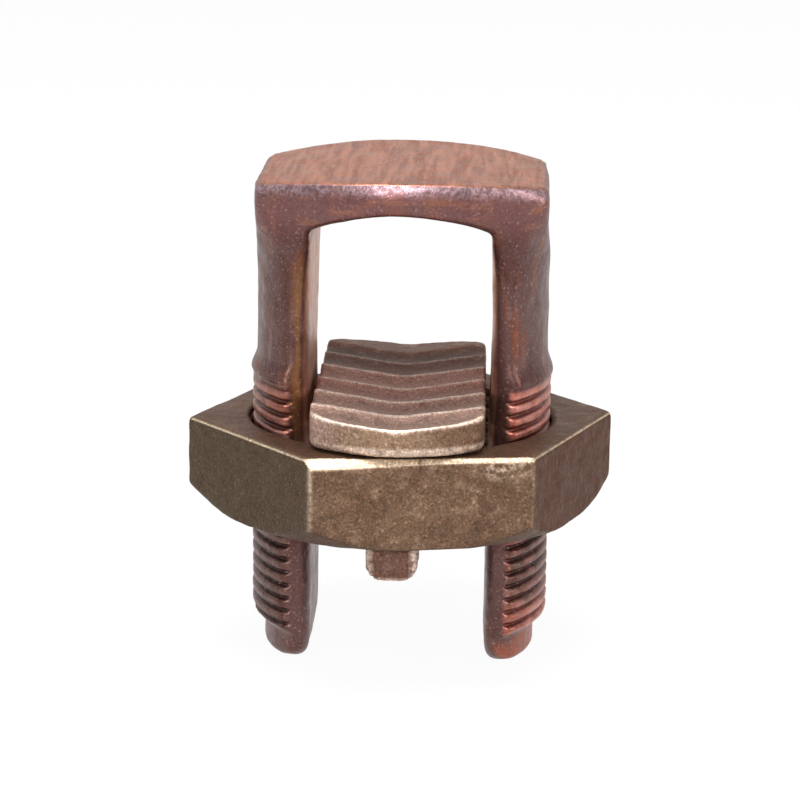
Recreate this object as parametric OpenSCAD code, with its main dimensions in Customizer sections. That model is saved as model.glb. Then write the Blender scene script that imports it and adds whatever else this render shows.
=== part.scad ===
// Split bolt connector: a forged copper U-bolt, a bronze hex nut and a ridged bronze
// pressure bar that rides on the nut between the two legs.
// +X runs across the legs, +Y along the conductors, and the leg ends stand on z = 0.

/* [Bolt] */
// Overall height of the bolt, from the leg ends to the crown of the head
bolt_h = 59; // [54:0.1:66]
// Clear width of the slot between the legs
slot_w = 20.9; // [18:0.1:22]
// Diameter of the plain shank above the thread
shank_d = 34.8; // [34:0.1:35.2]
// Front-to-back depth of each leg
leg_depth = 23.2; // [21:0.1:24]
// Radius of the rounded inner corners of each leg
leg_corner = 3.2; // [2:0.1:3.5]

/* [Head] */
// Width of the head's top, across both legs
head_w = 33.8; // [33:0.1:34.6]
// Front-to-back depth of the head over the slot
head_depth = 36; // [32:0.1:38]
// Front-to-back depth of the head at its two ends
head_end_depth = 20.2; // [16:0.1:24]
// Thickness of the head at its middle
head_t = 3.8; // [3.5:0.1:6]
// Rise of the crown on top of the head
crown_rise = 1.3; // [0.5:0.1:2]
// Rise of the arch under the head
arch_rise = 2.5; // [1:0.1:3]

/* [Thread] */
// Major diameter of the thread
thread_d = 35.8; // [35.4:0.1:36.2]
// Distance from one thread to the next, 16 to the inch
thread_pitch = 1.5875; // [1.5:0.0125:1.7]
// Depth of the thread
thread_depth = 0.6; // [0.3:0.05:0.9]
// Height of the thread's upper end above the leg ends
thread_top = 34; // [32:0.1:35]

/* [Nut] */
// Distance across the wrench flats
nut_flats = 44.45; // [42:0.05:46]
// Height of the nut
nut_h = 10.75; // [9:0.05:13]
// Height of the nut's underside above the leg ends
nut_z = 17.45; // [14:0.05:20]
// Turn of the hexagon from square with the bolt
nut_turn = 8; // [0:0.5:60]

/* [Pressure bar] */
// Front-to-back length of the bar
bar_l = 46; // [40:0.1:47]
// Radius of the bar's two rounded ends, seen from above
bar_end_r = 14; // [12:0.5:22]
// Side clearance between the bar and each leg
bar_gap = 0.4; // [0.2:0.05:0.5]
// Height of the bar at the floor of its groove
bar_h = 3.3; // [3:0.1:5]
// Angle that each side of the groove climbs
groove_angle = 9; // [5:0.5:14]
// Distance from one grip ridge to the next
ridge_pitch = 6.9; // [5:0.1:9]
// Depth of the hollows between the ridges
ridge_depth = 0.55; // [0.3:0.05:0.8]
// Width of the two keeper feet below the nut
keeper_w = 6; // [5:0.1:7]

/* [Hidden] */
copper = [0.72, 0.42, 0.33];
bronze = [0.52, 0.42, 0.30];
casting = [0.50, 0.41, 0.36];
eps = 0.01;
big = 100;

slot_x = slot_w / 2;
shank_r = shank_d / 2;
thread_r = thread_d / 2;
pilot_r = thread_r - 1.5;       // plain tip below the thread
pilot_h = 3.1;
leg_y = leg_depth / 2;
tip_r = 4.2;                    // rounding of each leg end, front and back
arch_z = bolt_h - head_t;       // crest of the arch under the head
flare_z = 45;                   // where the legs begin to widen into the head

nut_top = nut_z + nut_h;
nut_r = nut_flats / sqrt(3);
bore_r = thread_r + 0.3;
bar_z = nut_top + 0.25;
bar_x = slot_x - bar_gap;
bar_r = bar_l / 2;
keeper_r = thread_r - 0.9;      // outer radius of the keeper legs inside the bore
keeper_t = 3.2;
keeper_turn = -1.3;             // the feet sit a little off the bar's own axis
foot_r = bore_r + 1.3;          // the feet hook under the nut this far out
foot_drop = 4.6;                // height of the feet below the nut

// Radius of an arc from its chord and its rise
function arc_radius(chord, rise) = (chord * chord / 4 + rise * rise) / (2 * rise);

// Points along an arc about c, from angle a0 to angle a1
function arc(c, r, a0, a1, n = 8) =
    [for (i = [0:n]) let (a = a0 + (a1 - a0) * i / n) [c[0] + r * cos(a), c[1] + r * sin(a)]];

// The same points on the other side of the vertical axis, in reverse order
function mirrored(points) = [for (i = [len(points) - 1:-1:0]) [-points[i][0], points[i][1]]];

// A profile in Y and Z, drawn through the whole part along X
module along_x(half_width) {
    rotate([90, 0, 90])
        translate([0, 0, -half_width])
            linear_extrude(2 * half_width) children();
}

// A profile in X and Z, drawn through the whole part along Y
module along_y(half_length) {
    rotate([90, 0, 0])
        translate([0, 0, -half_length])
            linear_extrude(2 * half_length) children();
}

// Plan of one leg: straight inner face, round inner corners, open on the thread side
module leg_plan() {
    inner = slot_x + leg_corner;
    low = leg_y - leg_corner;
    polygon(concat(
        [[big, -leg_y]], arc([inner, -low], leg_corner, 270, 180),
        arc([inner, low], leg_corner, 180, 90), [[big, leg_y]]));
}

// Side outline of the legs: rounded ends below, a flare into the head above
module leg_side() {
    low = leg_y - tip_r;
    flare_r = 15;
    right = concat(
        arc([low, tip_r], tip_r, 270, 360),
        arc([leg_y + flare_r, flare_z], flare_r, 180, 150, 6));
    polygon(concat(right, mirrored(right)));
}

// Side outline of the head: crisp top edge and a round cheek that turns under to the legs
module head_side() {
    cheek_r = 5.6;
    cheek = [head_depth / 2 - cheek_r, bolt_h - 2.1];
    rim_turn = asin((bolt_h + 1 - cheek[1]) / cheek_r);
    right = arc(cheek, cheek_r, -80, rim_turn, 14);
    polygon(concat(right, mirrored(right)));
}

// Outline turned round the bolt's axis: pilot, thread land, collar, shank and flare
module turned_outline() {
    collar_r = thread_r + 0.2;
    flare_r = 26;
    polygon(concat(
        [[0, -1], [pilot_r, -1], [pilot_r, pilot_h], [thread_r, pilot_h + thread_r - pilot_r],
        [thread_r, thread_top - 0.6], [collar_r, thread_top], [collar_r, thread_top + 0.8],
        [shank_r, thread_top + 1.5 * thread_pitch]],
        arc([shank_r + flare_r, flare_z], flare_r, 180, 150, 6),
        [[shank_r + flare_r * (1 - cos(30)), bolt_h + 1], [0, bolt_h + 1]]));
}

// One turn of the thread's groove: a ring that leans by the lead, so that over the arc
// of one leg it follows the helix
module groove_ring(lean) {
    root = 0.07 * thread_pitch;     // half width of the groove's floor
    mouth = 0.29 * thread_pitch;    // half width at the crests
    over = 0.15;
    slope = (mouth - root) / thread_depth;
    rotate([lean, 0, 0])
        rotate_extrude($fn = 128)
            polygon([
                [thread_r - thread_depth, -root],
                [thread_r + over, -mouth - slope * over],
                [thread_r + over, mouth + slope * over],
                [thread_r - thread_depth, root]]);
}

// Right-hand thread: the rings of one leg stand half a pitch off those of the other
module thread_grooves() {
    lean = atan(thread_pitch / (2 * PI * thread_r));
    turns = [floor(pilot_h / thread_pitch) + 1:floor((thread_top - 1.5) / thread_pitch)];
    for (side = [-1, 1])
        intersection() {
            for (turn = turns)
                translate([0, 0, (turn + side / 4 + 0.25) * thread_pitch])
                    groove_ring(side * lean);
            translate([(side - 1) * big / 2, -big / 2, 0]) cube(big);
        }
}

// Slot between the legs: a shallow arch at the top, eased corners at the leg ends
module slot_profile() {
    arch_r = arc_radius(slot_w, arch_rise);
    half = asin(slot_x / arch_r);
    ease = 1.4;
    right = concat(
        [[slot_x + ease, -1]], arc([slot_x + ease, ease], ease, 270, 180, 5),
        arc([0, arch_z - arch_r], arch_r, 90 - half, 90, 10));
    polygon(concat(right, mirrored(right)));
}

// Front outline of the bolt: straight legs, drawn in to the head's ends, crowned top
module front_outline() {
    crown_r = arc_radius(head_w, crown_rise);
    intersection() {
        polygon([
            [-shank_r - 1, -2], [shank_r + 1, -2], [shank_r + 1, flare_z - 2], [shank_r, flare_z],
            [head_w / 2 + 0.1, flare_z + 7], [head_w / 2, bolt_h + 1],
            [-head_w / 2, bolt_h + 1], [-head_w / 2 - 0.1, flare_z + 7],
            [-shank_r, flare_z], [-shank_r - 1, flare_z - 2]]);
        translate([0, bolt_h - crown_r]) circle(crown_r, $fn = 256);
    }
}

// One forging: crowned head and two threaded legs
module split_bolt() {
    front_r = arc_radius(head_w, (head_depth - head_end_depth) / 2);
    color(copper)
    difference() {
        intersection() {
            rotate_extrude($fn = 128) turned_outline();
            union() {
                along_x(big / 2) head_side();
                intersection() {
                    along_x(big / 2) leg_side();
                    linear_extrude(arch_z) {
                        leg_plan();
                        mirror([1, 0]) leg_plan();
                    }
                }
            }
            // front and back of the head are arcs in plan
            intersection_for (side = [-1, 1])
                translate([0, side * (front_r - head_depth / 2), -2])
                    cylinder(r = front_r, h = big, $fn = 128);
            along_y(big) front_outline();
        }
        along_y(big) slot_profile();
        thread_grooves();
    }
}

// Cast hexagon: bevelled top edges, conical chamfer on the underside only
module hex_nut() {
    flat = nut_flats / 2;
    top_bevel = 0.45;
    corner_r = nut_r - 0.12;
    chamfer_r = flat + 0.3;
    chamfer_h = (corner_r - chamfer_r) * 0.8;
    mouth = 0.5;
    color(bronze)
    translate([0, 0, nut_z])
    difference() {
        intersection() {
            // three pairs of wrench flats
            intersection_for (i = [0:2])
                rotate([0, 0, nut_turn + 60 * i])
                    along_x(big / 2)
                        polygon([
                            [-flat, -eps], [flat, -eps], [flat, nut_h - top_bevel],
                            [flat - top_bevel, nut_h], [top_bevel - flat, nut_h],
                            [-flat, nut_h - top_bevel]]);
            rotate_extrude($fn = 128)
                polygon([
                    [0, 0], [chamfer_r, 0], [corner_r, chamfer_h],
                    [corner_r, nut_h + 1], [0, nut_h + 1]]);
        }
        // bore, with a chamfered mouth at each end
        rotate_extrude($fn = 128)
            polygon([
                [0, -1], [bore_r + mouth + 1, -1], [bore_r, mouth],
                [bore_r, nut_h - mouth], [bore_r + mouth + 1, nut_h + 1], [0, nut_h + 1]]);
    }
}

// Ridge profile along the bar: narrow ridges with round hollows between them,
// counted from the front end; the last ridge runs out flat to the back end
module ridge_profile(height) {
    land = 0.5;
    hollow_r = arc_radius(ridge_pitch - land, ridge_depth);
    hollows = floor(bar_l / ridge_pitch);
    difference() {
        translate([-bar_r - 1, -1]) square([bar_l + 2, height + 1]);
        for (i = [0:hollows - 1])
            translate([-bar_r + land / 2 + (i + 0.5) * ridge_pitch, height - ridge_depth + hollow_r])
                circle(hollow_r, $fn = 96);
    }
}

// Ridged block: each half climbs from the middle of the groove
module ridged_block() {
    for (side = [0, 1])
        mirror([side, 0, 0])
            intersection() {
                translate([0, 0, bar_h])
                    rotate([0, -groove_angle, 0])
                        translate([0, 0, -bar_h - 4])
                            along_x(big / 2) ridge_profile(bar_h + 4);
                translate([0, -big / 2, 0]) cube([bar_x, big, big]);
            }
}

// Round ends of the bar, their lower edge rounded, and the straight part between them
module bar_ends() {
    round_r = 0.9;
    end_y = bar_r - bar_end_r;
    translate([-bar_x - 1, -end_y, 0]) cube([2 * bar_x + 2, 2 * end_y, big]);
    for (side = [-1, 1])
        translate([0, side * end_y, 0])
            rotate_extrude($fn = 128)
                polygon(concat(
                    [[0, 0]], arc([bar_end_r - round_r, round_r], round_r, 270, 355, 5),
                    [[bar_end_r, big], [0, big]]));
}

// One keeper: a leg down through the bore and a foot hooked under the nut
module keeper() {
    foot_z = nut_z - 0.3;
    round_r = 1.6;
    half = keeper_w / 2;
    intersection() {
        union() {
            translate([0, 0, foot_z - 1]) cylinder(r = keeper_r, h = bar_z + 1 - foot_z, $fn = 96);
            translate([0, 0, nut_z - foot_drop]) cylinder(r = foot_r, h = foot_drop - 0.3, $fn = 96);
        }
        translate([-half, -foot_r - 1, 0]) cube([keeper_w, foot_r + 1 - (keeper_r - keeper_t), big]);
        along_y(big)
            polygon(concat(
                arc([half - round_r, nut_z - foot_drop + round_r], round_r, 270, 360),
                [[half, big], [-half, big]],
                arc([round_r - half, nut_z - foot_drop + round_r], round_r, 180, 270)));
    }
}

// One casting: ridged V-groove bar with a keeper at each end
module pressure_bar() {
    color(casting) {
        translate([0, 0, bar_z])
            intersection() {
                ridged_block();
                bar_ends();
            }
        for (turn = [0, 180]) rotate([0, 0, turn + keeper_turn]) keeper();
    }
}

split_bolt();
hex_nut();
pressure_bar();
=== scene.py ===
import math
from itertools import product
from types import SimpleNamespace as Palette

import bpy
import numpy as np
from mathutils import Matrix, Vector


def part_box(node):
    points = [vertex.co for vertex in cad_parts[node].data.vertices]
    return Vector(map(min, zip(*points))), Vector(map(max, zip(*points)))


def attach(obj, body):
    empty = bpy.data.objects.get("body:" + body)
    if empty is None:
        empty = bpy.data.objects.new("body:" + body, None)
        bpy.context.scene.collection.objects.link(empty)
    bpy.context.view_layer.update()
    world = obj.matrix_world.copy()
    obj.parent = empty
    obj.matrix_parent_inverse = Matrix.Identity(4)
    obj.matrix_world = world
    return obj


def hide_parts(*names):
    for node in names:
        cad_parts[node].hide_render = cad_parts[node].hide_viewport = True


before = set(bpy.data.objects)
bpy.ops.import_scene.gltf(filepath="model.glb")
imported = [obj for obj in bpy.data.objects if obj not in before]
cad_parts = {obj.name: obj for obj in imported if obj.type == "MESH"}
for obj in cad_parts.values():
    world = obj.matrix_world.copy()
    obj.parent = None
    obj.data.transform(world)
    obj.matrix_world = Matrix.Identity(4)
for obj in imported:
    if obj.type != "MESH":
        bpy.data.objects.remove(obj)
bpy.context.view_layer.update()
MM = 0.001

# ---------------------------------------------------------------- sizes, in millimetres


def node_box(node):
    low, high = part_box(node)
    return np.array(low) / MM, np.array(high) / MM


def arc_radius(chord, rise):
    return (chord * chord / 4 + rise * rise) / (2 * rise)


bolt_high = node_box("split_bolt")[1]
nut_low, nut_high = node_box("hex_nut")

BOLT_H = bolt_high[2]
SLOT_X = 10.4                    # half the slot, at the leg ends and under the head
SLOT_BOW = 0.35                  # the legs bow apart a little at mid height
SLOT_BOW_Z = 37.0
SLOT_BOW_SPAN = 11.0
SLOT_EDGE = 0.6
ARCH_Z = BOLT_H - 3.95
ARCH_RISE = 2.5
ARCH_R = arc_radius(2 * SLOT_X, ARCH_RISE)

LEG_Y = 11.6                     # half a leg's depth
LEG_TOP = BOLT_H - 3.5           # the legs end inside the head
TIP_R = 4.2
PILOT_R = 16.4
PILOT_H = 3.1
PILOT_EDGE = 0.3
PITCH = 1.5875
THREAD_R = 17.9
THREAD_TOP = 34.0
THREAD_DEPTH = 0.6
THREAD_FADE = 1.4                # the grooves grow shallow over this height
ROOT_FLAT = 0.05                 # half the root's width, as a share of the pitch
FLANK = 0.27                     # width of a flank, as a share of the pitch
COLLAR = 0.18                    # swelling above the thread
COLLAR_SPAN = 1.3
COLLAR_FALL = 2.6
SHANK_R = 17.4
FLARE_Z = 45.0
FLARE_R = 26.0
FLARE_H = 20.0
END_EDGE = 0.6

HEAD_X = 16.9                    # half the head's width at the top
HEAD_Y = bolt_high[1]            # half the head's depth over the slot
HEAD_END_Y = 10.1                # half the head's depth at its ends
HEAD_R = arc_radius(2 * HEAD_X, HEAD_Y - HEAD_END_Y)
HEAD_EDGE = 0.3
HEAD_NECK = 4.2                  # width of the blend from the legs to the head
CROWN_RISE = 1.3
CROWN_R = arc_radius(2 * HEAD_X, CROWN_RISE)
CHEEK_R = 5.6
CHEEK_Z = BOLT_H - 2.1

NUT_Z = nut_low[2]
NUT_H = nut_high[2] - nut_low[2]
NUT_FLAT = 22.225                # half the width across the flats
NUT_TURN = math.radians(98)      # direction of one wrench flat
NUT_CORNER = 0.32
NUT_EDGE = 0.35
FRONT_X, FRONT_Y = -math.cos(NUT_TURN), -math.sin(NUT_TURN)
BEVEL = 0.5                      # top bevel of the front face at its right end
BEVEL_MORE = 0.65                # and how much wider it is at its left end
CONE_OUT = 0.3                   # the underside's cone starts this far past the flats
CONE_SLOPE, CONE_LENGTH = 0.8, 1.28
BORE_R = 18.2
BORE_TIGHT = 0.12
BORE_GROOVE = 0.35
BORE_MOUTH = 0.5

BAR_Z = NUT_Z + NUT_H + 0.25
BAR_X = 10.05
BAR_R = 23.0                     # half the bar's length
BAR_END_R = 14.0                 # radius of the bar's ends in plan
BAR_H = 3.3
BAR_EDGE = 1.1
BAR_FOOT_R = 0.9
GROOVE = math.tan(math.radians(9))
GROOVE_R = 1.2
RIDGE_PITCH = 6.9
RIDGE_DEPTH = 0.62
RIDGE_LAND = 0.42

KEEPER_X = 3.0
KEEPER_R = THREAD_R - 0.9
KEEPER_THICK = 3.2
KEEPER_MID = 15.4
KEEPER_BOTTOM = NUT_Z - 4.6
KEEPER_SAG = 0.25
KEEPER_CORNER = 1.5
KEEPER_TURN = math.radians(-1.3)
FOOT_R = BORE_R + 1.3
FOOT_TOP = NUT_Z - 0.3

# ---------------------------------------------------------------- solids as distance functions


def smax(a, b, k):
    """The larger of a and b, with the edge between them rounded over a width k."""
    h = np.maximum(k - np.abs(a - b), 0.0) / k
    return np.maximum(a, b) + h * h * k / 4


def smin(a, b, k):
    return -smax(-a, -b, k)


def ease(t):
    t = np.clip(t, 0.0, 1.0)
    return t * t * (3 - 2 * t)


def corner(u, v, r):
    """Distance to a quarter plane u < 0, v < 0 whose edge is rounded to radius r."""
    u, v = u + r, v + r
    return np.hypot(np.maximum(u, 0), np.maximum(v, 0)) + np.minimum(np.maximum(u, v), 0) - r


def lattice(ix, iy, iz, seed):
    """A fixed scattered value from -1 to 1 for each whole-number place."""
    last, bits = 1274126177, 0xFFFFFFFF
    n = (ix * 374761393 + iy * 668265263 + iz * 1440662683 + seed * last) & bits
    n = ((n ^ (n >> 13)) * last) & bits
    return ((n ^ (n >> 16)) & 0xFFFF) / 32767.5 - 1.0


def noise(p, size, seed):
    """Smooth noise from -1 to 1 whose features are about size millimetres across."""
    q = p / size
    i = np.floor(q).astype(np.int64)
    f = ease(q - i)
    share = (1 - f, f)
    total = 0.0
    for dx, dy, dz in product((0, 1), repeat=3):
        w = share[dx][..., 0] * share[dy][..., 1] * share[dz][..., 2]
        total = total + w * lattice(i[..., 0] + dx, i[..., 1] + dy, i[..., 2] + dz, seed)
    return total


def noises(p, *layers):
    """A sum of noises, each given by its height, its size and its seed."""
    return sum(height * noise(p, size, seed) for height, size, seed in layers)


def thread_phase(p):
    """0 in the thread's root and 1 on its crest, on a right-hand helix about Z."""
    turn = np.arctan2(p[..., 1], p[..., 0]) / (2 * math.pi)
    from_crest = 0.5 - np.abs(np.mod(p[..., 2] / PITCH - turn, 1.0) - 0.5)
    return ease((0.5 - from_crest - ROOT_FLAT) / FLANK)


def bolt_radius(p):
    """Radius of the outside of the legs at each height: pilot, thread, run-out, shank, flare."""
    z = p[..., 2]
    fade = ease((THREAD_TOP - 0.3 - z) / THREAD_FADE)
    thread = THREAD_R - THREAD_DEPTH * fade * (1 - thread_phase(p))
    collar = COLLAR * np.exp(-((z - THREAD_TOP - 0.3) / COLLAR_SPAN) ** 2)
    fall = 1 - ease((z - THREAD_TOP) / COLLAR_FALL)
    shank = SHANK_R + (THREAD_R - SHANK_R) * fall + collar
    pilot = PILOT_R + np.maximum(z - PILOT_H, 0)
    rise = np.clip(z - FLARE_Z, 0, FLARE_H)
    flare = FLARE_R - np.sqrt(FLARE_R ** 2 - rise ** 2)
    return smin(np.where(z < THREAD_TOP, thread, shank), pilot, PILOT_EDGE) + flare


def slot(x, z):
    """Distance to the slot between the legs: an arch above, a slight bow between."""
    half = SLOT_X + SLOT_BOW * np.exp(-((z - SLOT_BOW_Z) / SLOT_BOW_SPAN) ** 2)
    arch = np.hypot(x, np.maximum(z - ARCH_Z + ARCH_R, 0)) - ARCH_R
    return smax(np.abs(x) - half, arch, SLOT_EDGE)


def bolt_legs(x, y, z, radius):
    """The two legs as one rounded block, still without the slot; their edges soften upwards."""
    tip = corner(y - LEG_Y, -z, TIP_R)
    soft = 0.35 + 0.55 * (1 - ease(z / PILOT_H)) + 0.8 * ease((z - THREAD_TOP - 1) / 3)
    return smax(smax(tip, np.hypot(x, y) - radius, soft), z - LEG_TOP, 1.0)


def bolt(p):
    x, y, z = np.abs(p[..., 0]), np.abs(p[..., 1]), p[..., 2]
    plan = np.hypot(x, y + HEAD_R - HEAD_Y) - HEAD_R
    cheek = np.hypot(np.maximum(plan + CHEEK_R, 0), z - CHEEK_Z) - CHEEK_R
    crown = np.hypot(x, z - BOLT_H + CROWN_R) - CROWN_R
    head = smax(cheek, crown, HEAD_EDGE)
    body = smin(bolt_legs(x, y, z, bolt_radius(p)), head, HEAD_NECK)
    body = smax(body, crown, HEAD_EDGE)
    below, above = 1 - ease((z - FLARE_Z + 9) / 8), ease((z - FLARE_Z) / 8)
    body = smax(body, x - (SHANK_R + 0.2 + 2 * below - 0.6 * above), END_EDGE)
    edge = 0.9 + 2.6 * (1 - ease((z - 46) / 6)) * (0.4 + 0.6 * ease(z / 5))
    return smax(body, -slot(x, z), edge)


def front_face(x, y):
    """How far a place lies towards the nut's front face, and how far along that face."""
    return x * FRONT_X + y * FRONT_Y, -x * FRONT_Y + y * FRONT_X


def nut(p):
    x, y, z = p[..., 0], p[..., 1], p[..., 2] - NUT_Z
    r = np.hypot(x, y)
    sides = None
    for i in range(3):
        a = NUT_TURN + i * math.pi / 3
        flat = np.abs(x * math.cos(a) + y * math.sin(a)) - NUT_FLAT
        sides = flat if sides is None else smax(sides, flat, NUT_CORNER)
    # the front face's top bevel narrows from the left corner to the right one
    out, along = front_face(x, y)
    bevel = BEVEL + BEVEL_MORE * ease((5 - along) / 17)
    cone = ((r - NUT_FLAT - CONE_OUT) * CONE_SLOPE - z) / CONE_LENGTH
    body = smax(sides, z - NUT_H, 0.8)
    body = smax(body, (out - NUT_FLAT + z - NUT_H + bevel) * 0.707, 0.25)
    body = smax(smax(body, -z, NUT_EDGE), cone, NUT_EDGE)
    groove = BORE_GROOVE * ease(z / 0.8) * ease((NUT_H - z) / 0.8)
    bore = BORE_R - BORE_TIGHT + groove * thread_phase(p)
    mouth = np.maximum(BORE_MOUTH - np.minimum(z, NUT_H - z), 0)
    return smax(body, bore + mouth - r, 0.3)


def ridges(y, height):
    """Height of the bar's grip ridges along its length, counted from the front end."""
    k = np.floor((y + BAR_R) / RIDGE_PITCH)
    k = np.clip(k, 0, math.floor(2 * BAR_R / RIDGE_PITCH) - 1)
    mid = -BAR_R + (k + 0.5) * RIDGE_PITCH
    across = np.clip(np.abs(y - mid) / (RIDGE_PITCH / 2 - RIDGE_LAND / 2), 0, 1)
    return height - RIDGE_DEPTH * (1 - across ** 2)


def bar_end(x, y):
    """Distance to the bar's outline in plan along its length: an arc at each end."""
    return np.hypot(x, np.maximum(np.abs(y) - BAR_R + BAR_END_R, 0)) - BAR_END_R


def bar(p):
    x, y, z = np.abs(p[..., 0]), p[..., 1], p[..., 2] - BAR_Z
    groove = np.sqrt(x * x + GROOVE_R ** 2) - GROOVE_R
    top = z - ridges(y, BAR_H + GROOVE * groove)
    body = smax(corner(bar_end(x, y), -z, BAR_FOOT_R), x - BAR_X, BAR_EDGE)
    return smax(body, top, RIDGE_LAND)


def keeper(p):
    """A keeper leg at the front of the bore, with a foot that hooks under the nut."""
    x, y, z = np.abs(p[..., 0]), p[..., 1], p[..., 2]
    r = np.hypot(x, y)
    foot = smax(r - FOOT_R, z - FOOT_TOP, 0.8)
    outer = smin(r - KEEPER_R, foot, 0.5)
    inner = y + (KEEPER_R - KEEPER_THICK)
    low = KEEPER_BOTTOM + KEEPER_SAG * (x / KEEPER_X) ** 2
    side = corner(x - KEEPER_X, low - z, KEEPER_CORNER)
    return smax(smax(outer, inner, 0.5), side, 0.7)


# ---------------------------------------------------------------- meshes drawn on those solids

GRADIENT_STEP = 0.01
CAST_STEPS, CAP_STEPS, HALVINGS = 26, 40, 14
CAP_SHARES = (0.985, 0.95, 0.9, 0.8, 0.65, 0.45, 0.22)
CAP_REACH = 6.0
SKELETON_SHARE, SKELETON_LEAST = 0.92, 0.25
EDGE_REACH = 0.4                 # how far off the surface its bend is felt
FACE_SAMPLE = 37                 # every so many faces are looked at for their direction


def gradient(solid, p):
    g = np.empty_like(p)
    for i in range(3):
        d = np.zeros(3)
        d[i] = GRADIENT_STEP
        g[..., i] = solid(p + d) - solid(p - d)
    return g / np.maximum(np.linalg.norm(g, axis=-1, keepdims=True), 1e-9)


def cast(solid, start, way, reach, steps=CAST_STEPS):
    """The first place along each ray where it leaves the solid."""
    low = np.zeros(start.shape[:-1])
    high = np.full(start.shape[:-1], float(reach))
    found = np.zeros(start.shape[:-1], bool)
    for i in range(1, steps + 1):
        t = reach * i / steps
        outside = solid(start + way * t) > 0
        high[outside & ~found] = t
        low[~found & ~outside] = t
        found |= outside
    for _ in range(HALVINGS):
        mid = (low + high) / 2
        outside = solid(start + way * mid[..., None]) > 0
        high = np.where(outside, mid, high)
        low = np.where(outside, low, mid)
    return start + way * low[..., None]


def inside_span(solid, base, way, distances):
    """The first and the last of the distances along a ray that lie inside the solid."""
    inside = distances[solid(base + way * distances[:, None]) < 0]
    return inside[0], inside[-1]


def spread(n, crowd):
    """n values from -1 to 1, the last left out, closer together at both ends."""
    u = np.arange(n) / n * 2 - 1
    return (1 - crowd) * u + crowd * np.sin(u * math.pi / 2)


def ring(long_count, short_count, crowd):
    """Points round a square: (across, along), each side crowded at its corners."""
    u, v = spread(long_count, crowd), spread(short_count, crowd)
    one_u, one_v = np.ones(long_count), np.ones(short_count)
    sides = ((-one_u, u), (v, one_v), (one_u, -u), (-v, -one_v))
    return np.concatenate([np.stack(side, 1) for side in sides])


class Shell:
    """A closed skin: rings of points, one for each station along a solid, capped at its ends."""

    def __init__(self, solid, counts, crowd):
        self.solid, self.counts, self.outline, self.rings = solid, counts, ring(*counts, crowd), []

    def station(self, centre, across, along, half, long_half, bow=None):
        """Adds a ring of rays that start on a short line along the middle of the section."""
        centre, across, along = np.array(centre), np.array(across), np.array(along)
        a, b = self.outline[:, 0] * half, self.outline[:, 1] * long_half
        core = max(long_half - SKELETON_SHARE * half, SKELETON_LEAST)
        b0 = np.clip(b, -core, core)
        start = centre + along * b0[:, None]
        way = across * a[:, None] + along * (b - b0)[:, None]
        way = way / np.linalg.norm(way, axis=1, keepdims=True)
        if bow is not None:
            start = start + bow(self.outline)
        self.rings.append((start, way))

    def points(self, reach):
        """The rings set on the surface, and the places that their rays start from."""
        start = np.array([r[0] for r in self.rings])
        way = np.array([r[1] for r in self.rings])
        return cast(self.solid, start, way, reach), start

    def cap(self, edge, spine, way, back):
        """Rings that close an end: the edge drawn in to the spine, then set on the surface."""
        way = np.array(way, float)
        drawn = [spine + (edge - spine) * share - way * back for share in CAP_SHARES]
        return [cast(self.solid, flat, way, back + CAP_REACH, CAP_STEPS) for flat in drawn]

    def capped(self, reach, first_way, last_way=None, back=0.0):
        """All the rings, with a cap cast along first_way and, if there is one, along last_way."""
        points, spine = self.points(reach)
        rings = self.cap(points[0], spine[0], first_way, back)[::-1] + list(points)
        if last_way:
            rings += self.cap(points[-1], spine[-1], last_way, back)
        return rings


def cap_faces(first, long_count, short_count):
    """Faces that close a ring laid out by ring(): its two long sides zipped together."""
    n = 2 * (long_count + short_count)
    faces = []
    for i in range(long_count):
        j = 2 * long_count + short_count - i
        faces.append([i, i + 1, j - 1, j])
    faces.append(list(range(long_count, long_count + short_count + 1)))
    faces.append(list(range(2 * long_count + short_count, n + 1)))
    return [[first + k % n for k in face] for face in faces]


def mesh_object(name, rings, counts=None):
    """A mesh object from a stack of rings, capped; without counts the last joins the first."""
    rings = np.array(rings)
    count, n = rings.shape[0], rings.shape[1]
    rows = np.arange(count - 1 if counts else count)
    i, j = np.meshgrid(rows, np.arange(n), indexing="ij")
    i2, j2 = (i + 1) % count, (j + 1) % n
    quads = np.stack([i * n + j, i * n + j2, i2 * n + j2, i2 * n + j], -1).reshape(-1, 4)
    faces = quads.tolist()
    if counts:
        faces += [face[::-1] for face in cap_faces(0, *counts)]
        faces += cap_faces((count - 1) * n, *counts)
    mesh = bpy.data.meshes.new(name)
    mesh.from_pydata((rings.reshape(-1, 3) * MM).tolist(), [], faces)
    mesh.validate()
    mesh.update()
    obj = bpy.data.objects.new(name, mesh)
    bpy.context.scene.collection.objects.link(obj)
    mesh.shade_smooth()
    return obj


def face_outward(obj, inside):
    """Turns all faces over if they look inward; inside is a point within the solid."""
    mesh = obj.data
    total = 0.0
    for i in range(0, len(mesh.polygons), FACE_SAMPLE):
        poly = mesh.polygons[i]
        total += poly.area * poly.normal.dot(poly.center - Vector(inside) * MM)
    if total < 0:
        mesh.flip_normals()


def set_attribute(obj, name, values):
    layer = obj.data.attributes.new(name, "FLOAT", "POINT")
    layer.data.foreach_set("value", np.asarray(values, np.float32))


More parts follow.
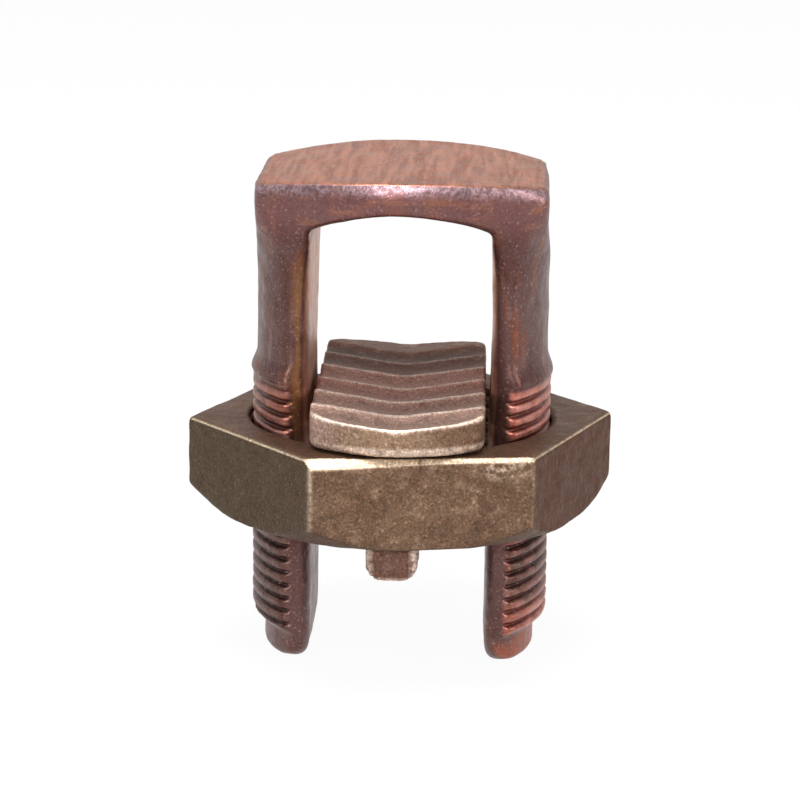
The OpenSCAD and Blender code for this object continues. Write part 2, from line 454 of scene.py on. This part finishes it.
def finish_piece(obj, solid, relief, masks, body, material, nodes=()):
    """Adds surface relief along the normals, paints the masks and joins the piece to its body."""
    mesh = obj.data
    p = np.empty(len(mesh.vertices) * 3)
    mesh.vertices.foreach_get("co", p)
    p = p.reshape(-1, 3) / MM
    normal = gradient(solid, p)
    bend = solid(p + normal * EDGE_REACH) + solid(p - normal * EDGE_REACH)
    set_attribute(obj, "edge", np.clip(bend / (0.5 * EDGE_REACH), -1, 1))
    for name, values in masks(p, normal).items():
        set_attribute(obj, name, values)
    moved = p + normal * relief(p, normal)[:, None]
    mesh.vertices.foreach_set("co", (moved * MM).ravel())
    mesh.update()
    mesh.materials.append(material)
    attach(obj, body)
    if nodes:
        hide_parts(*nodes)


# ---------------------------------------------------------------- materials

WHITE = (1.0, 1.0, 1.0)
BUMP_STRENGTH = 0.6
GRAIN = 0.42                     # size of the cast bronze's sand grain

COPPER = Palette(
    oxide=(0.112, 0.046, 0.038), purple=(0.140, 0.074, 0.068), rust=(0.205, 0.078, 0.048),
    grey_pink=(0.255, 0.145, 0.128), head=(0.235, 0.112, 0.108), rolled=(0.300, 0.125, 0.085),
    olive=(0.240, 0.112, 0.048), slot=(0.620, 0.330, 0.220), burnished=(0.400, 0.280, 0.310),
    bare_dark=(0.262, 0.098, 0.060), bare_light=(0.420, 0.184, 0.120),
    bare_drift=(0.300, 0.165, 0.100),
    root_dark=(0.045, 0.020, 0.017), root_red=(0.190, 0.052, 0.036),
    crest_dark=(0.105, 0.050, 0.038), crest_brown=(0.175, 0.098, 0.082),
    crest_red=(0.480, 0.150, 0.105), crest_pink=(0.640, 0.290, 0.235),
    cut=(0.340, 0.100, 0.055), rubbed=(0.430, 0.240, 0.205), speck=(0.520, 0.370, 0.340))
NUT = Palette(
    dark=(0.088, 0.046, 0.027), light=(0.115, 0.062, 0.036),
    front_dark=(0.134, 0.074, 0.045), front_light=(0.172, 0.101, 0.062),
    sand=(0.310, 0.205, 0.138), soot=(0.088, 0.054, 0.034),
    left=(0.088, 0.056, 0.031), right=(0.086, 0.024, 0.004), cream=(0.680, 0.545, 0.395))
BAR = Palette(
    front=(0.420, 0.270, 0.215), middle=(0.600, 0.300, 0.230), back=(0.090, 0.032, 0.016),
    side=(0.290, 0.185, 0.113), side_right=(0.150, 0.080, 0.045), pale=(0.420, 0.300, 0.250),
    soot=(0.090, 0.052, 0.038), corner=(0.050, 0.034, 0.026), worn=(0.860, 0.690, 0.570))


class Tree:
    """Short ways to add nodes to the node tree of a material or of the world."""

    def __init__(self, owner):
        owner.use_nodes = True
        self.nodes, self.links = owner.node_tree.nodes, owner.node_tree.links

    def put(self, value, socket):
        """Links a socket to another one, or sets it to a number, a vector or a colour."""
        if isinstance(value, bpy.types.NodeSocket):
            self.links.new(value, socket)
        elif socket.type == "RGBA":
            socket.default_value = (*value, 1.0)
        else:
            socket.default_value = value

    def add(self, kind, inputs, **settings):
        """A node of a kind with its settings and then its inputs, by name or by number."""
        node = self.nodes.new("ShaderNode" + kind)
        for name, value in settings.items():
            setattr(node, name, value)
        for name, value in inputs.items():
            self.put(value, node.inputs[name])
        return node

    def range(self, value, low, high, to_low=0.0, to_high=1.0):
        """The value eased from low..high to to_low..to_high."""
        inputs = {"Value": value, "From Min": low, "From Max": high,
                  "To Min": to_low, "To Max": to_high}
        return self.add("MapRange", inputs, interpolation_type="SMOOTHSTEP").outputs["Result"]

    def math(self, kind, a, b):
        return self.add("Math", {0: a, 1: b}, operation=kind).outputs[0]

    def mix(self, share, a, b):
        inputs = {"Factor": share, "A": a, "B": b}
        return self.add("Mix", inputs, data_type="RGBA").outputs["Result"]

    def scaled(self, vector, factor):
        """A colour made lighter or darker, or a place made nearer or further, by a factor."""
        return self.add("VectorMath", {0: vector, "Scale": factor}, operation="SCALE").outputs[0]

    def blend(self, share, first, second):
        """The first shader, with the second one over a share of it."""
        return self.add("MixShader", {0: share, 1: first, 2: second}).outputs[0]


class Skin(Tree):
    """The node tree of a new metal material, with textures in millimetres of the object."""

    def __init__(self, name):
        self.material = bpy.data.materials.new(name)
        super().__init__(self.material)
        self.shader = self.nodes["Principled BSDF"]
        self.place = self.scaled(self.add("TexCoord", {}).outputs["Object"], 1 / MM)

    def attributes(self, *names):
        return [self.add("Attribute", {}, attribute_name=name).outputs["Fac"] for name in names]

    def over(self, size, stretch=(1, 1, 1)):
        """Places for a texture whose features are about size millimetres across."""
        scale = [1 / (size * s) for s in stretch]
        return self.add("Mapping", {"Scale": scale, "Vector": self.place}).outputs[0]

    def noise(self, size, detail, rough, stretch=(1, 1, 1), warp=0.0):
        inputs = {"Vector": self.over(size, stretch), "Scale": 1.0, "Detail": detail,
                  "Roughness": rough, "Distortion": warp}
        return self.add("TexNoise", inputs).outputs["Fac"]

    def cells(self, size, smooth):
        inputs = {"Vector": self.over(size), "Scale": 1.0, "Smoothness": smooth}
        return self.add("TexVoronoi", inputs, feature="SMOOTH_F1").outputs["Distance"]

    def bump(self, height, depth, normal=None):
        inputs = {"Distance": depth * MM, "Strength": BUMP_STRENGTH, "Height": height}
        if normal is not None:
            inputs["Normal"] = normal
        return self.add("Bump", inputs).outputs["Normal"]

    def finish(self, colour, metal, rough, coarse, fine):
        """Sets the shader; coarse and fine are each a height and its depth in millimetres."""
        normal = self.bump(*fine, self.bump(*coarse))
        values = {"Base Color": colour, "Metallic": metal, "Roughness": rough, "Normal": normal}
        for name, value in values.items():
            self.put(value, self.shader.inputs[name])
        return self.material


def copper_patina(t, mottle):
    """Dark oxide with purple and brown drifts; a painted olive sheen down the left leg's front,
    painted light on the legs' faces towards the slot, and a painted highlight band under the head's
    edge.
    """
    head, sheen_stripe, inner, band = t.attributes("head", "sheen_stripe", "inner", "band")
    cloud = t.noise(7.0, 4, 0.6, warp=0.6)
    streak = t.noise(3.0, 4, 0.6, stretch=(0.6, 0.9, 4.0))
    rolled = t.range(t.noise(2.0, 4, 0.6, stretch=(3.5, 1.0, 0.6)), 0.52, 0.66, 0.0, 0.8)
    # painted sheen: an olive band down the flat of the left leg's front
    olive = t.math("MULTIPLY", sheen_stripe, t.range(streak, 0.42, 0.58))
    # painted light: the legs' faces towards the slot made bright
    inside = t.math("MULTIPLY", inner, t.range(streak, 0.30, 0.55, 0.45, 0.9))
    # painted highlight: a pale purple-pink band just under the head's top edge
    band_highlight = t.math("MULTIPLY", band, t.range(t.noise(0.6, 4, 0.65), 0.42, 0.60, 0.30, 1.0))
    colour = t.mix(t.range(cloud, 0.35, 0.65), COPPER.oxide, COPPER.purple)
    colour = t.mix(t.range(streak, 0.52, 0.66), colour, COPPER.rust)
    colour = t.mix(t.range(mottle, 0.56, 0.72, 0.0, 0.5), colour, COPPER.grey_pink)
    colour = t.mix(t.math("MULTIPLY", head, 0.6), colour, COPPER.head)
    colour = t.mix(t.math("MULTIPLY", head, rolled), colour, COPPER.rolled)
    colour = t.mix(olive, colour, COPPER.olive)
    colour = t.mix(inside, colour, COPPER.slot)
    return t.mix(band_highlight, colour, COPPER.burnished)


def bare_copper(t):
    """The head's top: bare, with long faint streaks."""
    faint = t.noise(3.4, 6, 0.6, stretch=(0.25, 3.0, 1.0))
    drift = t.range(t.noise(4.0, 4, 0.6), 0.55, 0.75, 0.0, 0.5)
    colour = t.mix(t.range(faint, 0.35, 0.65), COPPER.bare_dark, COPPER.bare_light)
    return t.mix(drift, colour, COPPER.bare_drift)


def thread_copper(t, mottle):
    """Dark grooves in the thread, oxide with painted shade and dark red where the copper is fresh;
    brown to bright pink crests, partly a painted highlight.
    """
    fresh, crest = t.attributes("fresh", "crest")
    blotch = t.range(mottle, 0.4, 0.65)
    # grooves: dark oxide and painted shade; crests: their own colour and a painted highlight
    root = t.mix(fresh, COPPER.root_dark, COPPER.root_red)
    worn = t.mix(blotch, COPPER.crest_red, COPPER.crest_pink)
    land = t.mix(fresh, t.mix(blotch, COPPER.crest_dark, COPPER.crest_brown), worn)
    return t.mix(t.range(crest, 0.15, 0.8), root, land)


def copper_material():
    t = Skin("forged_copper")
    edge, thread, bare, low = t.attributes("edge", "thread", "bare", "low")
    mottle = t.noise(2.2, 5, 0.65)
    speck = t.noise(0.30, 2, 0.5)
    colour = t.mix(bare, copper_patina(t, mottle), bare_copper(t))
    colour = t.mix(thread, colour, thread_copper(t, mottle))
    # the right leg's end is freshly cut
    cut = t.math("MULTIPLY", low, t.range(mottle, 0.35, 0.6, 0.45, 1.0))
    colour = t.mix(cut, colour, COPPER.cut)
    rubbed = t.math("MULTIPLY", t.range(edge, 0.15, 0.8), t.range(mottle, 0.40, 0.58, 0.1, 1.0))
    rubbed = t.math("MULTIPLY", rubbed, t.range(thread, 0.0, 1.0, 0.4, 0.12))
    colour = t.mix(rubbed, colour, COPPER.rubbed)
    colour = t.mix(t.range(speck, 0.48, 0.30, 0.0, 0.45), colour, t.scaled(colour, 0.45))
    colour = t.mix(t.range(speck, 0.60, 0.76, 0.0, 0.5), colour, COPPER.speck)
    rough = t.math("ADD", t.range(mottle, 0.35, 0.7, 0.34, 0.50), t.math("MULTIPLY", bare, 0.06))
    hammered = t.math("MULTIPLY", t.cells(1.3, 0.6), 0.5)
    height = t.math("ADD", hammered, t.math("MULTIPLY", mottle, 0.6))
    height = t.math("MULTIPLY", height, t.range(bare, 0.0, 1.0, 1.0, 0.35))
    return t.finish(colour, 0.88, rough, (height, 0.20), (t.noise(0.45, 4, 0.6), 0.035))


def bronze_finish(t, colour, mottle, metal):
    """Cast skin: base colour, roughness and a fine sand grain."""
    grain = t.noise(GRAIN, 5, 0.7)
    for value in (grain, t.noise(0.26, 2, 0.5)):
        colour = t.mix(t.range(value, 0.48, 0.30, 0.0, 0.55), colour, t.scaled(colour, 0.35))
        colour = t.mix(t.range(value, 0.54, 0.72, 0.0, 0.55), colour, t.scaled(colour, 2.2))
    pits = t.math("MULTIPLY", t.range(t.noise(GRAIN * 2.2, 3, 0.6), 0.34, 0.5), 0.4)
    height = t.math("ADD", t.math("MULTIPLY", grain, 0.7), pits)
    rough = t.range(mottle, 0.3, 0.7, 0.46, 0.62)
    return t.finish(colour, metal, rough, (height, 0.08), (t.noise(GRAIN * 0.4, 3, 0.6), 0.03))


def nut_material():
    t = Skin("nut_bronze")
    face, facet, left, right, patch = t.attributes("front", "facet", "left", "right", "patch")
    cloud = t.range(t.noise(7.0, 4, 0.6, warp=0.5), 0.34, 0.66)
    mottle = t.noise(1.6, 5, 0.65)
    # painted light and shade: the front face lighter, the left and right faces tinted darker, over
    # the bronze's own cloudy tone
    front = t.mix(cloud, NUT.front_dark, NUT.front_light)
    front = t.mix(t.range(mottle, 0.50, 0.68, 0.0, 0.55), front, NUT.sand)
    front = t.mix(t.range(mottle, 0.46, 0.32, 0.0, 0.55), front, NUT.soot)
    colour = t.mix(face, t.mix(cloud, NUT.dark, NUT.light), front)
    colour = t.mix(left, colour, NUT.left)
    colour = t.mix(right, colour, NUT.right)
    # cream wear and a painted highlight on the front face's top bevel and upright edges
    cream = t.math("MULTIPLY", facet, t.range(t.noise(0.8, 4, 0.6), 0.34, 0.50, 0.45, 1.0))
    flecks = t.math("MULTIPLY", patch, t.range(t.noise(0.9, 5, 0.65), 0.46, 0.60, 0.0, 0.7))
    colour = t.mix(t.math("MAXIMUM", cream, flecks), colour, NUT.cream)
    return bronze_finish(t, colour, mottle, 0.82)


def bar_material():
    t = Skin("bar_bronze")
    worn, along, side, edge, hollow = t.attributes("worn", "along", "side", "edge", "hollow")
    mottle = t.noise(1.9, 5, 0.65)
    # painted light: the bar's top lighter at the front and dark towards the back
    colour = t.mix(t.range(along, 0.10, 0.55), BAR.front, BAR.middle)
    colour = t.mix(t.range(along, 0.45, 0.80), colour, BAR.back)
    # painted shade in the hollows between the ridges
    colour = t.mix(t.math("MULTIPLY", hollow, 0.55), colour, t.scaled(colour, 0.45))
    colour = t.mix(t.range(side, 0.0, 0.3), colour, BAR.side)
    colour = t.mix(t.range(side, 0.45, 1.0), colour, BAR.side_right)
    colour = t.mix(t.range(mottle, 0.45, 0.70, 0.0, 0.5), colour, t.mix(0.5, colour, BAR.pale))
    colour = t.mix(t.range(mottle, 0.45, 0.30, 0.0, 0.5), colour, BAR.soot)
    # painted shade: concave creases darkened
    colour = t.mix(t.range(edge, -0.10, -0.7, 0.0, 0.6), colour, BAR.corner)
    # pale wear and painted highlights on the ridges' crests, the front edges and the keepers' rims
    bright = t.math("MULTIPLY", worn, t.range(t.noise(0.7, 4, 0.6), 0.36, 0.52, 0.35, 1.0))
    colour = t.mix(bright, colour, BAR.worn)
    return bronze_finish(t, colour, mottle, 0.80)


# ---------------------------------------------------------------- the bolt

PIVOT_X, PIVOT_Z = 7.5, 47.5     # the stations turn over the head about these points
FIRST_HEIGHTS = (0.03, 0.1, 0.25, 0.45, 0.7, 1.0, 1.35, 1.75, 2.2)
RINGS_PER_PITCH = 12


def between(value, low, rise, high, fall):
    """1 from low + rise to high - fall, eased down to 0 at low and at high."""
    return ease((value - low) / rise) * ease((high - value) / fall)


def thread_mask(p):
    outer = ease((np.hypot(p[..., 0], p[..., 1]) - THREAD_R + THREAD_DEPTH + 0.35) / 0.4)
    return outer * between(p[..., 2], PILOT_H - 0.2, 0.5, THREAD_TOP + 0.2, 1.0)


def bolt_relief(p, normal):
    plain = 1 - 0.8 * thread_mask(p)
    forged = noises(p, (0.09, 8.0, 1), (0.05, 3.0, 2), (0.028, 1.3, 3))
    return forged * plain + 0.06 * noise(p, 1.1, 4) * (1 - plain)


def fresh_copper(p, right, ragged):
    """Where the thread's crests are bright: above the nut, and at the right leg's end."""
    upper = ease((p[:, 2] - 25) / 3)
    end = 0.12 + 0.58 * ease((9.0 + ragged - p[:, 2]) / 2.5)
    fresh = right * (0.85 * upper + (1 - upper) * end) + (1 - right) * (0.02 + 0.40 * upper)
    return np.clip(fresh + 0.28 * thread_mask(p) * noise(p, 1.3, 6) * (fresh > 0.1), 0, 1)


def bolt_masks(p, normal):
    x, y, z = p.T
    top = ease((normal[:, 2] - 0.55) / 0.3) * ease((z - BOLT_H + 3) / 1.0)
    right = ease((x + 2) / 4)
    ragged = 1.5 * noise(p, 3.0, 5)
    outer = ease((np.hypot(x, y) - PILOT_R + 0.8) / 0.5)
    # where the painted sheen runs: the flat of the left leg's front, on faces that look forward
    sheen_stripe = np.exp(-((x + 12.0) / 0.9) ** 2) * ease(-normal[:, 1] * 3)
    # a painted highlight band on the head's front and back, just under its top edge
    below = BOLT_H - CROWN_R + np.sqrt(CROWN_R ** 2 - np.minimum(np.abs(x), 20) ** 2) - z
    band = ease(below / 0.25) * (1 - ease((below - 0.6) / 1.3)) * ease((np.abs(y) - 8) / 3)
    # the legs' faces towards the slot, where light is painted on
    inner = ease((-np.sign(x) * normal[:, 0] - 0.75) / 0.2)
    return {"thread": thread_mask(p), "crest": thread_phase(p), "bare": top,
            "fresh": fresh_copper(p, right, ragged),
            "low": right * ease((4.2 + ragged - z) / 1.5) * outer,
            "head": ease((z - 50) / 5) * (1 - top), "band": band * (1 - top),
            "sheen_stripe": (1 - right) * sheen_stripe * between(z, 22, 8, 51, 6),
            "inner": inner * between(z, 20, 6, 54, 4)}


def bolt_stations():
    """Points inside the bolt and the way to its outside: up one leg, over and down the other."""
    thread = np.arange(2.5, THREAD_TOP + 1.2, PITCH / RINGS_PER_PITCH)
    shank = np.arange(thread[-1] + 0.45, PIVOT_Z, 0.5)
    heights = np.concatenate([FIRST_HEIGHTS, thread, shank])
    left = [((-PIVOT_X, 0, z), (-1.0, 0, 0)) for z in heights]
    turns = np.radians(np.linspace(0, 90, 30)[:-1])
    left += [((-PIVOT_X, 0, PIVOT_Z), (-math.cos(a), 0, math.sin(a))) for a in turns]
    middle = [((x, 0, PIVOT_Z), (0, 0, 1.0)) for x in np.linspace(-PIVOT_X, PIVOT_X, 38)]
    right = [((-c[0], 0, c[2]), (-w[0], 0, w[2])) for c, w in reversed(left)]
    return left + middle + right


def build_bolt(material):
    """One skin from the left leg's end up over the head and down to the right leg's end."""
    shell = Shell(bolt, (42, 28), 0.75)
    along, down = np.array([0.0, 1.0, 0.0]), (0, 0, -1.0)
    for base, way in bolt_stations():
        base, way = np.array(base, float), np.array(way, float)
        near, far = inside_span(bolt, base, way, np.linspace(0.5, 24, 400))
        centre = base + way * (near + far) / 2
        long_half = inside_span(bolt, centre, along, np.linspace(0, 22, 300))[1]
        shell.station(centre, way, along, (far - near) / 2, long_half)
    obj = mesh_object("bolt", shell.capped(22.0, down, down), shell.counts)
    face_outward(obj, (-14, 0, 20))
    finish_piece(obj, bolt, bolt_relief, bolt_masks, "bolt", material, ["split_bolt"])


# ---------------------------------------------------------------- the nut

NEAR_CORNER = (0, 0.25, 0.5, 0.8, 1.15, 1.6, 2.3, 3.2, 4.4)      # degrees from a corner


def nut_relief(p, normal):
    outside = ease((np.hypot(p[:, 0], p[:, 1]) - BORE_R - 0.8) / 1.0)
    return outside * noises(p, (0.10, 6.0, 11), (0.05, 2.2, 12), (0.03, 0.9, 13))


def nut_masks(p, normal):
    facing, across = front_face(normal[:, 0], normal[:, 1])
    along, up = front_face(p[:, 0], p[:, 1])[1], p[:, 2] - NUT_Z
    half = NUT_FLAT / math.sqrt(3)
    forward, beside = ease((facing - 0.25) / 0.2), ease((facing + 0.2) / 0.3)
    # cream wear and a painted highlight along the front face's top edge and down its two upright
    # edges
    top_edge = ease((normal[:, 2] - 0.35) / 0.2) * ease((0.92 - normal[:, 2]) / 0.1)
    upright = (facing > 0.3) * (np.abs(normal[:, 2]) < 0.6) * (0.4 + 0.6 * ease(up / NUT_H))
    left_edge = 0.75 * np.exp(-((along + half) / 0.24) ** 2)
    right_edge = 0.25 * np.exp(-((along - half) / 0.20) ** 2)
    level = np.interp(along, [-13, 2, 13], [1.0, 0.95, 0.8])
    others = 0.06 * (1 - forward) * ease(-p[:, 1] / 4)
    facet = top_edge * (forward * level + others) + (left_edge + right_edge) * upright
    patch = np.exp(-((along - 9.5) / 2.6) ** 2 - ((up - NUT_H + 1.2) / 1.1) ** 2)
    # faces marked for painted light: the front, and the left and right sides
    front = ease((facing - 0.75) / 0.2)
    return {"front": front, "facet": np.clip(facet, 0, 1), "patch": front * patch,
            "left": ease((-across - 0.45) / 0.2) * beside,
            "right": 0.8 * ease((across - 0.45) / 0.2) * beside}


def nut_angles():
    """Directions of the nut's sections, crowded at its corners."""
    near = np.radians(NEAR_CORNER)
    angles = []
    for c in NUT_TURN + math.pi / 6 + np.arange(6) * math.pi / 3:
        angles += [c + a for a in near] + [c - a for a in near[1:]]
        angles += list(c + np.radians(np.linspace(5.8, 54.2, 36)))
    return np.sort(np.mod(angles, 2 * math.pi))


def build_nut(material):
    """One skin of closed sections, all the way round the bore."""
    shell = Shell(nut, (58, 20), 0.4)
    up = np.array([0.0, 0.0, 1.0])
    middle = np.array([0, 0, NUT_Z + NUT_H * 0.55])
    for a in nut_angles():
        way = np.array([math.cos(a), math.sin(a), 0.0])
        near, far = inside_span(nut, middle, way, np.linspace(BORE_R - 1, 27, 400))
        centre = middle + way * (near + far) / 2 - up * NUT_H * 0.05
        shell.station(centre, way, up, (far - near) / 2, NUT_H / 2)
    obj = mesh_object("nut", shell.points(12.0)[0])
    face_outward(obj, (0, -BORE_R - 2, NUT_Z + NUT_H / 2))
    finish_piece(obj, nut, nut_relief, nut_masks, "nut", material, ["hex_nut"])


# ---------------------------------------------------------------- the pressure bar

END_STEPS = np.array([0.03, 0.08, 0.15, 0.25, 0.4, 0.6, 0.85])
CREST_SHINE_Y = (-18, -13, -8, -3, 2, 8, 14, 20)         # painted highlight on the ridges' crests, brightest at the bar's front
CREST_SHINE = (0.75, 1, 1, 0.7, 0.5, 0.3, 0.15, 0.05)


def bar_relief(p, normal):
    upper = ease((normal[:, 2] - 0.5) / 0.3)
    cast_skin = noises(p, (0.04, 2.4, 21), (0.035, 1.0, 22), (0.022, 0.5, 23))
    return cast_skin * (0.7 + 0.3 * upper) + 0.05 * noise(p, 6.0, 24)


def bar_masks(p, normal):
    x, y, z = p.T
    height = ridges(y, 0.0) / RIDGE_DEPTH + 1
    upper = ease((normal[:, 2] - 0.3) / 0.3)
    front = ease((-8 - y) / 5)
    top = z - BAR_Z - ridges(y, BAR_H + GROOVE * np.abs(x))
    # painted highlights: along the front end's top edge, and a band low on the front face
    rim = np.exp(-(((top + 0.1) ** 2 + (bar_end(x, y) + 0.2) ** 2) / 0.45 ** 2) ** 2) * front
    base = 0.6 * ease((BAR_Z + 1.3 - z) / 0.5) * front * (1 - upper)
    # painted highlight on the ridges' crests, fading towards the back
    crest = ease((height - 0.72) / 0.24) * upper * np.interp(y, CREST_SHINE_Y, CREST_SHINE)
    return {"worn": np.maximum(crest, np.maximum(rim, base)),
            # the hollows between the ridges, for painted shade
            "hollow": (1 - ease((height - 0.1) / 0.7)) * upper,
            # front to back along the top, for the painted light
            "along": np.clip((y + BAR_R) / (2 * BAR_R), 0, 1) * upper,
            "side": np.clip(0.5 + x / 20, 0, 1) * (1 - upper)}


def build_bar(material):
    """One skin from the bar's front end to its back end."""
    shell = Shell(bar, (80, 12), 0.5)
    across, along = (0, 0, 1.0), (1.0, 0, 0)
    middle = np.arange(-BAR_R + 1.05, BAR_R - 1.0, 0.2)
    for y in np.concatenate([-BAR_R + END_STEPS, middle, BAR_R - END_STEPS[::-1]]):
        inward = -math.copysign(1, y) * ease((abs(y) / BAR_R - 0.55) / 0.45)

        def bow(outline, inward=inward):
            x = outline[:, 1] * BAR_X
            edge = BAR_END_R - np.sqrt(BAR_END_R ** 2 - x ** 2)
            return np.stack([0 * x, inward * edge, 0 * x], 1)

        shell.station((0, y, BAR_Z + BAR_H * 0.45), across, along, BAR_H / 2, BAR_X, bow)
    obj = mesh_object("bar", shell.capped(14.0, (0, -1.0, 0), (0, 1.0, 0), 0.5), shell.counts)
    face_outward(obj, (0, 0, BAR_Z + 1))
    finish_piece(obj, bar, bar_relief, bar_masks, "bar", material, ["pressure_bar"])


# ---------------------------------------------------------------- the bar's keepers

FOOT_STEPS = (0.03, 0.1, 0.2, 0.35, 0.55, 0.8, 1.1, 1.5, 2.0, 2.6, 3.2, 3.6, 3.8, 3.95)
LEDGE_STEPS = (-0.22, -0.1, -0.03, 0.02, 0.1, 0.3)      # round the top of the foot


def keeper_relief(p, normal):
    return noises(p, (0.05, 1.6, 31), (0.025, 0.7, 32))


def keeper_masks(p, normal):
    side = np.abs(p[:, 0]) - KEEPER_X
    # the keeper's side edges and lower rim: wear and a painted highlight
    rim = np.exp(-((side + 0.25) / 0.35) ** 2) + ease((KEEPER_BOTTOM + 0.6 - p[:, 2]) / 0.5)
    none = np.zeros(len(p))
    worn = np.clip(rim * 0.8 + 0.04, 0, 1)
    # the keepers take the dark back end of the bar's painted light: painted shade
    return {"worn": worn, "along": none + 0.75, "side": none, "hollow": none}


def build_keepers(material):
    """The front keeper, and the same one turned half round; both reach up into the bar."""
    heights = [KEEPER_BOTTOM + step for step in FOOT_STEPS]
    heights += [FOOT_TOP + step for step in LEDGE_STEPS]
    heights += list(np.linspace(FOOT_TOP + 0.8, BAR_Z + 1.2, 26))
    for name, turn in (("keeper_front", 0.0), ("keeper_back", math.pi)):
        shell = Shell(keeper, (26, 22), 0.6)
        for z in heights:
            shell.station((0, -KEEPER_MID, z), (0, 1.0, 0), (1.0, 0, 0), 1.5, KEEPER_X)
        obj = mesh_object(name, shell.capped(6.0, (0, 0, -1.0)), shell.counts)
        face_outward(obj, (0, -KEEPER_MID, NUT_Z + 3))
        finish_piece(obj, keeper, keeper_relief, keeper_masks, "bar", material)
        obj.data.transform(Matrix.Rotation(turn + KEEPER_TURN, 4, "Z"))


# ---------------------------------------------------------------- camera, lights and ground

AMBIENT = 0.42                   # strength of the even light from all round
BRIGHT_WAY = (0.0, 0.60, 0.80)   # reflections are brightest this way
BAND = 0.76                      # strength of a bright band in reflections, above the horizon
FLOOR_CLEAR = 0.95               # how much of the floor gives way to white
FLOOR_COLOUR = (0.86, 0.86, 0.86)
FLOOR_HALF, FLOOR_Z = 3.0, -0.0003                # in metres


def place_camera():
    """The photograph's camera: a long lens, a little above the connector, almost square to it."""
    distance, rise, roll, swing = 345.3, math.radians(13.47), math.radians(0.8), math.radians(1.7)
    aim = Vector((-0.23, 0.0, NUT_Z + NUT_H + 1.61))
    ahead = Vector((0, math.cos(rise), -math.sin(rise)))
    level, over = Vector((1, 0, 0)), Vector((0, math.sin(rise), math.cos(rise)))
    right = level * math.cos(roll) + over * math.sin(roll)
    up = over * math.cos(roll) - level * math.sin(roll)
    turn = Matrix.Rotation(swing, 3, "Z")
    basis = turn @ Matrix((right, up, -ahead)).transposed()
    data = bpy.data.cameras.new("camera")
    data.sensor_width = 36
    data.lens = 128.9
    data.clip_start, data.clip_end = 0.01, 20
    camera = bpy.data.objects.new("camera", data)
    bpy.context.scene.collection.objects.link(camera)
    camera.matrix_world = Matrix.Translation(turn @ (aim - ahead * distance) * MM) @ basis.to_4x4()
    bpy.context.scene.camera = camera


def area_light(name, place, size, power, colour):
    data = bpy.data.lights.new(name, "AREA")
    data.shape, data.energy, data.color = "RECTANGLE", power, colour
    data.size, data.size_y = size
    lamp = bpy.data.objects.new(name, data)
    lamp.location = place
    lamp.rotation_mode = "QUATERNION"
    target = Vector((0, 0, 0.03))
    lamp.rotation_quaternion = (target - Vector(place)).to_track_quat("-Z", "Y")
    bpy.context.scene.collection.objects.link(lamp)


def set_world():
    """Even light from all round; seen white, and white in reflections from above and behind."""
    world = bpy.data.worlds.new("studio")
    bpy.context.scene.world = world
    t = Tree(world)
    sky = t.nodes["Background"]
    t.put(WHITE, sky.inputs["Color"])
    t.put(AMBIENT, sky.inputs["Strength"])
    way = t.add("TexCoord", {}).outputs["Generated"]
    lean = t.add("VectorMath", {0: way, 1: BRIGHT_WAY}, operation="DOT_PRODUCT").outputs["Value"]
    height = t.add("SeparateXYZ", {0: way}).outputs["Z"]
    level = t.range(lean, -0.35, 0.75, 0.10, 0.8)
    rising, falling = t.range(height, 0.16, 0.34, 0.0, BAND), t.range(height, 0.60, 0.80, 1.0, 0.0)
    band = t.math("MULTIPLY", rising, falling)
    strength = t.math("MAXIMUM", level, band)
    mirrored = t.add("Background", {"Color": WHITE, "Strength": strength}).outputs[0]
    white = t.add("Background", {"Color": WHITE}).outputs[0]
    ray = t.add("LightPath", {}).outputs
    lit = t.blend(ray["Is Glossy Ray"], sky.outputs[0], mirrored)
    seen = t.math("MAXIMUM", ray["Is Camera Ray"], ray["Is Transmission Ray"])
    t.put(t.blend(seen, lit, white), t.nodes["World Output"].inputs["Surface"])


def set_floor():
    """A white floor that keeps a faint shadow and lets what hangs below it show."""
    material = bpy.data.materials.new("pale_floor")
    t = Tree(material)
    shader = t.nodes["Principled BSDF"]
    t.put(FLOOR_COLOUR, shader.inputs["Base Color"])
    t.put(0.9, shader.inputs["Roughness"])
    t.put(0.0, shader.inputs["Specular IOR Level"])
    ray = t.add("LightPath", {}).outputs
    mirrored = t.math("MAXIMUM", ray["Is Glossy Ray"], ray["Is Transmission Ray"])
    look = shader.outputs[0]
    for seen, cover in ((mirrored, "Emission"), (ray["Is Camera Ray"], "BsdfTransparent")):
        share = t.math("MULTIPLY", seen, FLOOR_CLEAR)
        look = t.blend(share, look, t.add(cover, {}).outputs[0])
    t.put(look, t.nodes["Material Output"].inputs["Surface"])
    mesh = bpy.data.meshes.new("floor")
    corners = [(x * FLOOR_HALF, y * FLOOR_HALF, 0) for x, y in ((-1, -1), (1, -1), (1, 1), (-1, 1))]
    mesh.from_pydata(corners, [], [(0, 1, 2, 3)])
    floor = bpy.data.objects.new("floor", mesh)
    floor.location.z = FLOOR_Z
    mesh.materials.append(material)
    bpy.context.scene.collection.objects.link(floor)


def set_lights():
    area_light("overhead", (-0.05, -0.10, 0.80), (0.45, 0.45), 9.0, (1.0, 0.99, 0.97))
    area_light("front", (-0.06, -0.80, 0.36), (0.30, 0.14), 3.5, (0.98, 0.96, 1.0))
    area_light("side", (0.60, -0.25, 0.20), (0.30, 0.30), 1.1, (1.0, 0.92, 0.88))


copper = copper_material()
nut_bronze = nut_material()
bar_bronze = bar_material()
build_bolt(copper)
build_nut(nut_bronze)
build_bar(bar_bronze)
build_keepers(bar_bronze)
place_camera()
set_world()
set_floor()
set_lights()
bpy.context.scene.view_settings.view_transform = "Standard"
